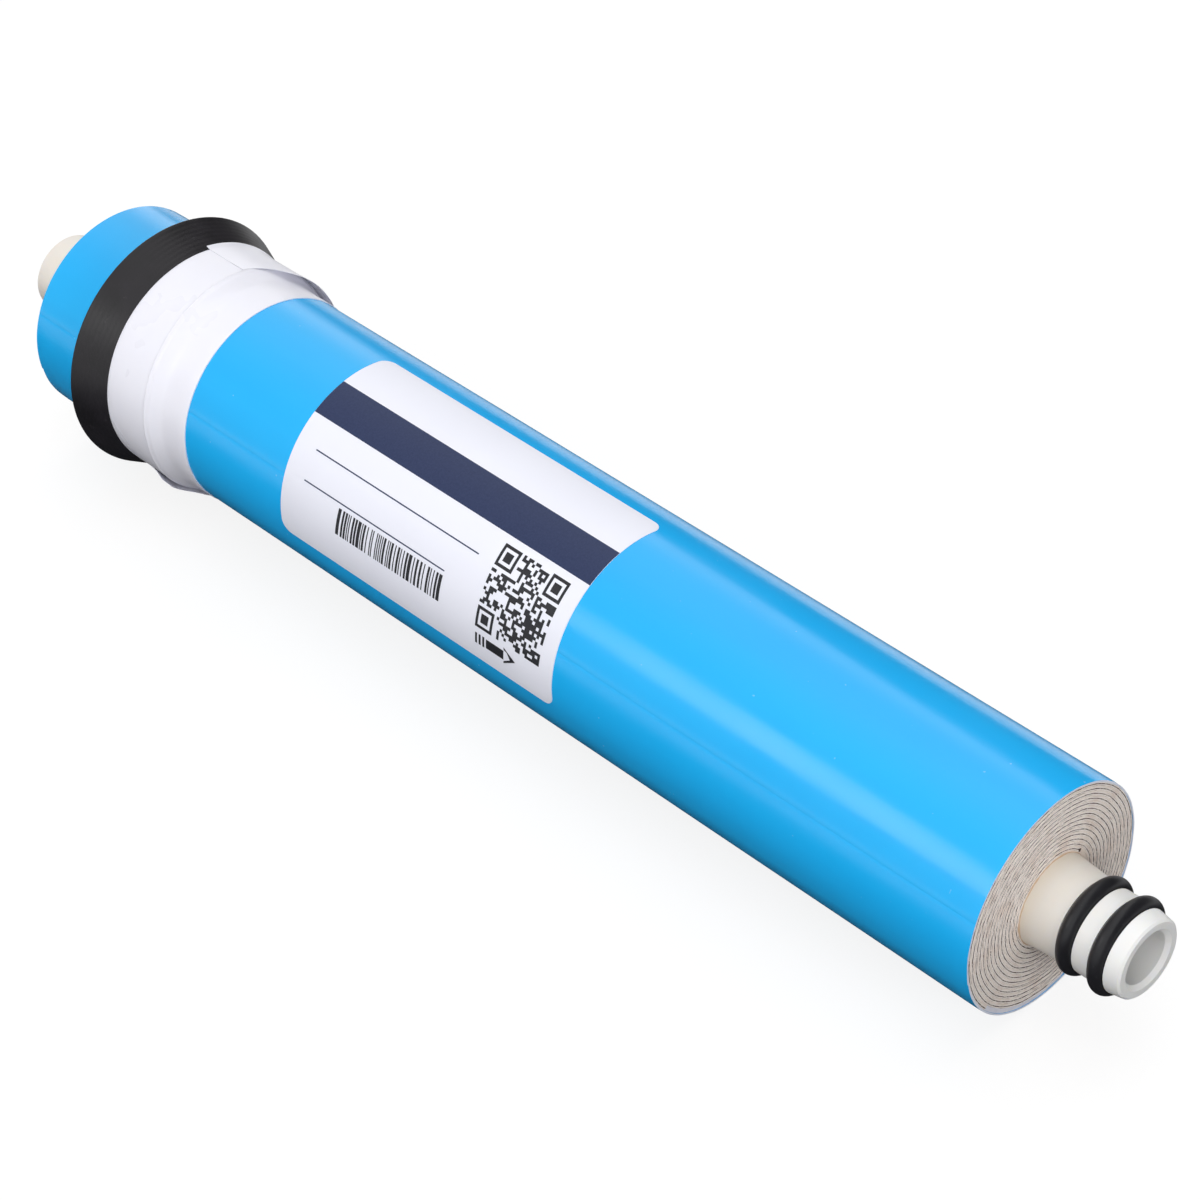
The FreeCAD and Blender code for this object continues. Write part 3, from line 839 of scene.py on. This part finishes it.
def make_floor():
    """Table that the seal's rim and the roll's end touch: white as seen, and painted dark under the object as
    its shade for reflections and bounce light.
    """
    rim = Vector((RIM_START * MM, 0, -RIM_RADIUS * MM))
    heel = Vector((ROLL_END * MM, 0, -WRAP_RADIUS * MM))
    tilt = math.atan2(heel.z - rim.z, heel.x - rim.x)
    bpy.ops.mesh.primitive_plane_add(size=FLOOR_WIDTH)
    floor = bpy.context.object
    floor.name = "floor"
    floor.rotation_euler = (0, -tilt, 0)
    floor.location = rim - Vector((0, 0, FLOOR_CLEARANCE))
    material = bpy.data.materials.new("floor")
    material.use_nodes = True
    n = Nodes(material.node_tree)
    split = n.node("ShaderNodeSeparateXYZ")
    n.put(split.inputs[0], n.place)
    clear_of_painted_shade = n.range(n.math("ABSOLUTE", split.outputs[1]), *PAINTED_SHADE_FADE, blend="SMOOTHSTEP")
    table = n.node("ShaderNodeBsdfDiffuse")
    # painted shade: near-black under the object for all but camera rays, in place of the shadow beneath it
    n.put(table.inputs["Color"], n.mix(clear_of_painted_shade, (0.05, 0.05, 0.055), (0.80, 0.80, 0.81)))
    card = n.node("ShaderNodeBsdfDiffuse")
    card.inputs["Color"].default_value = (0.90, 0.90, 0.90, 1)
    glow = n.node("ShaderNodeEmission")
    glow.inputs["Strength"].default_value = 1.05
    shown = n.node("ShaderNodeMixShader")
    shown.inputs[0].default_value = 0.80
    n.put(shown.inputs[1], card.outputs[0])
    n.put(shown.inputs[2], glow.outputs[0])
    blend = n.node("ShaderNodeMixShader")
    n.put(blend.inputs[0], n.node("ShaderNodeLightPath").outputs["Is Camera Ray"])
    n.put(blend.inputs[1], table.outputs[0])
    n.put(blend.inputs[2], shown.outputs[0])
    n.put(n.tree.nodes["Material Output"].inputs[0], blend.outputs[0])
    floor.data.materials.append(material)


def make_world():
    """White to the camera; to everything else a studio that is bright on the left and overhead."""
    world = bpy.data.worlds.new("studio")
    bpy.context.scene.world = world
    world.use_nodes = True
    world.node_tree.nodes.clear()
    n = Nodes(world.node_tree)
    side = n.node("ShaderNodeVectorMath", operation="DOT_PRODUCT")
    side.inputs[1].default_value = BRIGHT_SIDE
    n.put(side.inputs[0], n.node("ShaderNodeTexCoord").outputs["Generated"])
    across = side.outputs["Value"]
    inside = n.range(across, -0.03, 0.03, blend="SMOOTHSTEP")
    sky = n.range(across, 0.5, 1.0, LIGHTS["sky"], 0.4 * LIGHTS["sky"])
    rim = n.range(across, 0.22, 0.05, 0.0, LIGHTS["rim"], "SMOOTHSTEP")
    bright = n.math("MULTIPLY", inside, n.math("ADD", sky, rim))
    dark = n.range(inside, 0.0, 1.0, LIGHTS["shade"], 0.0)
    lit = n.node("ShaderNodeBackground")
    n.put(lit.inputs["Strength"], n.math("ADD", bright, dark))
    seen = n.node("ShaderNodeBackground")
    seen.inputs["Color"].default_value = (1, 1, 1, 1)
    blend = n.node("ShaderNodeMixShader")
    n.put(blend.inputs[0], n.node("ShaderNodeLightPath").outputs["Is Camera Ray"])
    n.put(blend.inputs[1], lit.outputs[0])
    n.put(blend.inputs[2], seen.outputs[0])
    n.put(n.node("ShaderNodeOutputWorld").inputs[0], blend.outputs[0])


def make_lamp(name, place, aim, width, height, in_gloss):
    """Rectangular lamp that the camera doesn't see."""
    lamp = bpy.data.lights.new(name, "AREA")
    lamp.shape = "RECTANGLE"
    lamp.size = width
    lamp.size_y = height
    lamp.energy = LIGHTS[name]
    holder = bpy.data.objects.new(name, lamp)
    bpy.context.scene.collection.objects.link(holder)
    holder.location = place
    holder.rotation_euler = (Vector(place) - Vector(aim)).to_track_quat("Z", "Y").to_euler()
    holder.visible_camera = False
    holder.visible_glossy = in_gloss


def make_camera():
    """Seen from above the permeate end, with a long lens."""
    data = bpy.data.cameras.new("camera")
    data.lens = LENS
    data.sensor_width = SENSOR
    camera = bpy.data.objects.new("camera", data)
    bpy.context.scene.collection.objects.link(camera)
    right = Vector(CAMERA_RIGHT)
    back = Vector(CAMERA_BACK).normalized()
    up = back.cross(right).normalized()
    right = up.cross(back)
    turned = Matrix((right, up, back)).transposed()
    camera.matrix_world = Matrix.Translation(CAMERA_PLACE) @ turned.to_4x4()
    bpy.context.scene.camera = camera


def dress_cad_nodes():
    """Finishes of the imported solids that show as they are."""
    dressed = {
        "permeate_tube": ("tube", "tube_plastic"),
        "inner_o_ring": ("ring", "ring_rubber"),
        "outer_o_ring": ("ring", "ring_rubber"),
        "brine_seal": ("seal", "seal_rubber"),
        "label": ("label", "label_paper"),
    }
    for node, (finish, slot) in dressed.items():
        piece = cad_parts[node]
        piece.data.materials.clear()
        piece.data.materials.append(FINISH[finish])


make_camera()
dress_cad_nodes()
make_leaf()
make_tail_wedge()
make_core_wedge()
make_core_bead()
make_wrap()
make_tape()
make_tape_overlap()
make_print()
make_floor()
make_world()
for lamp_name, settings in LAMPS.items():
    make_lamp(lamp_name, *settings)

scene = bpy.context.scene
scene.view_settings.view_transform = "Standard"
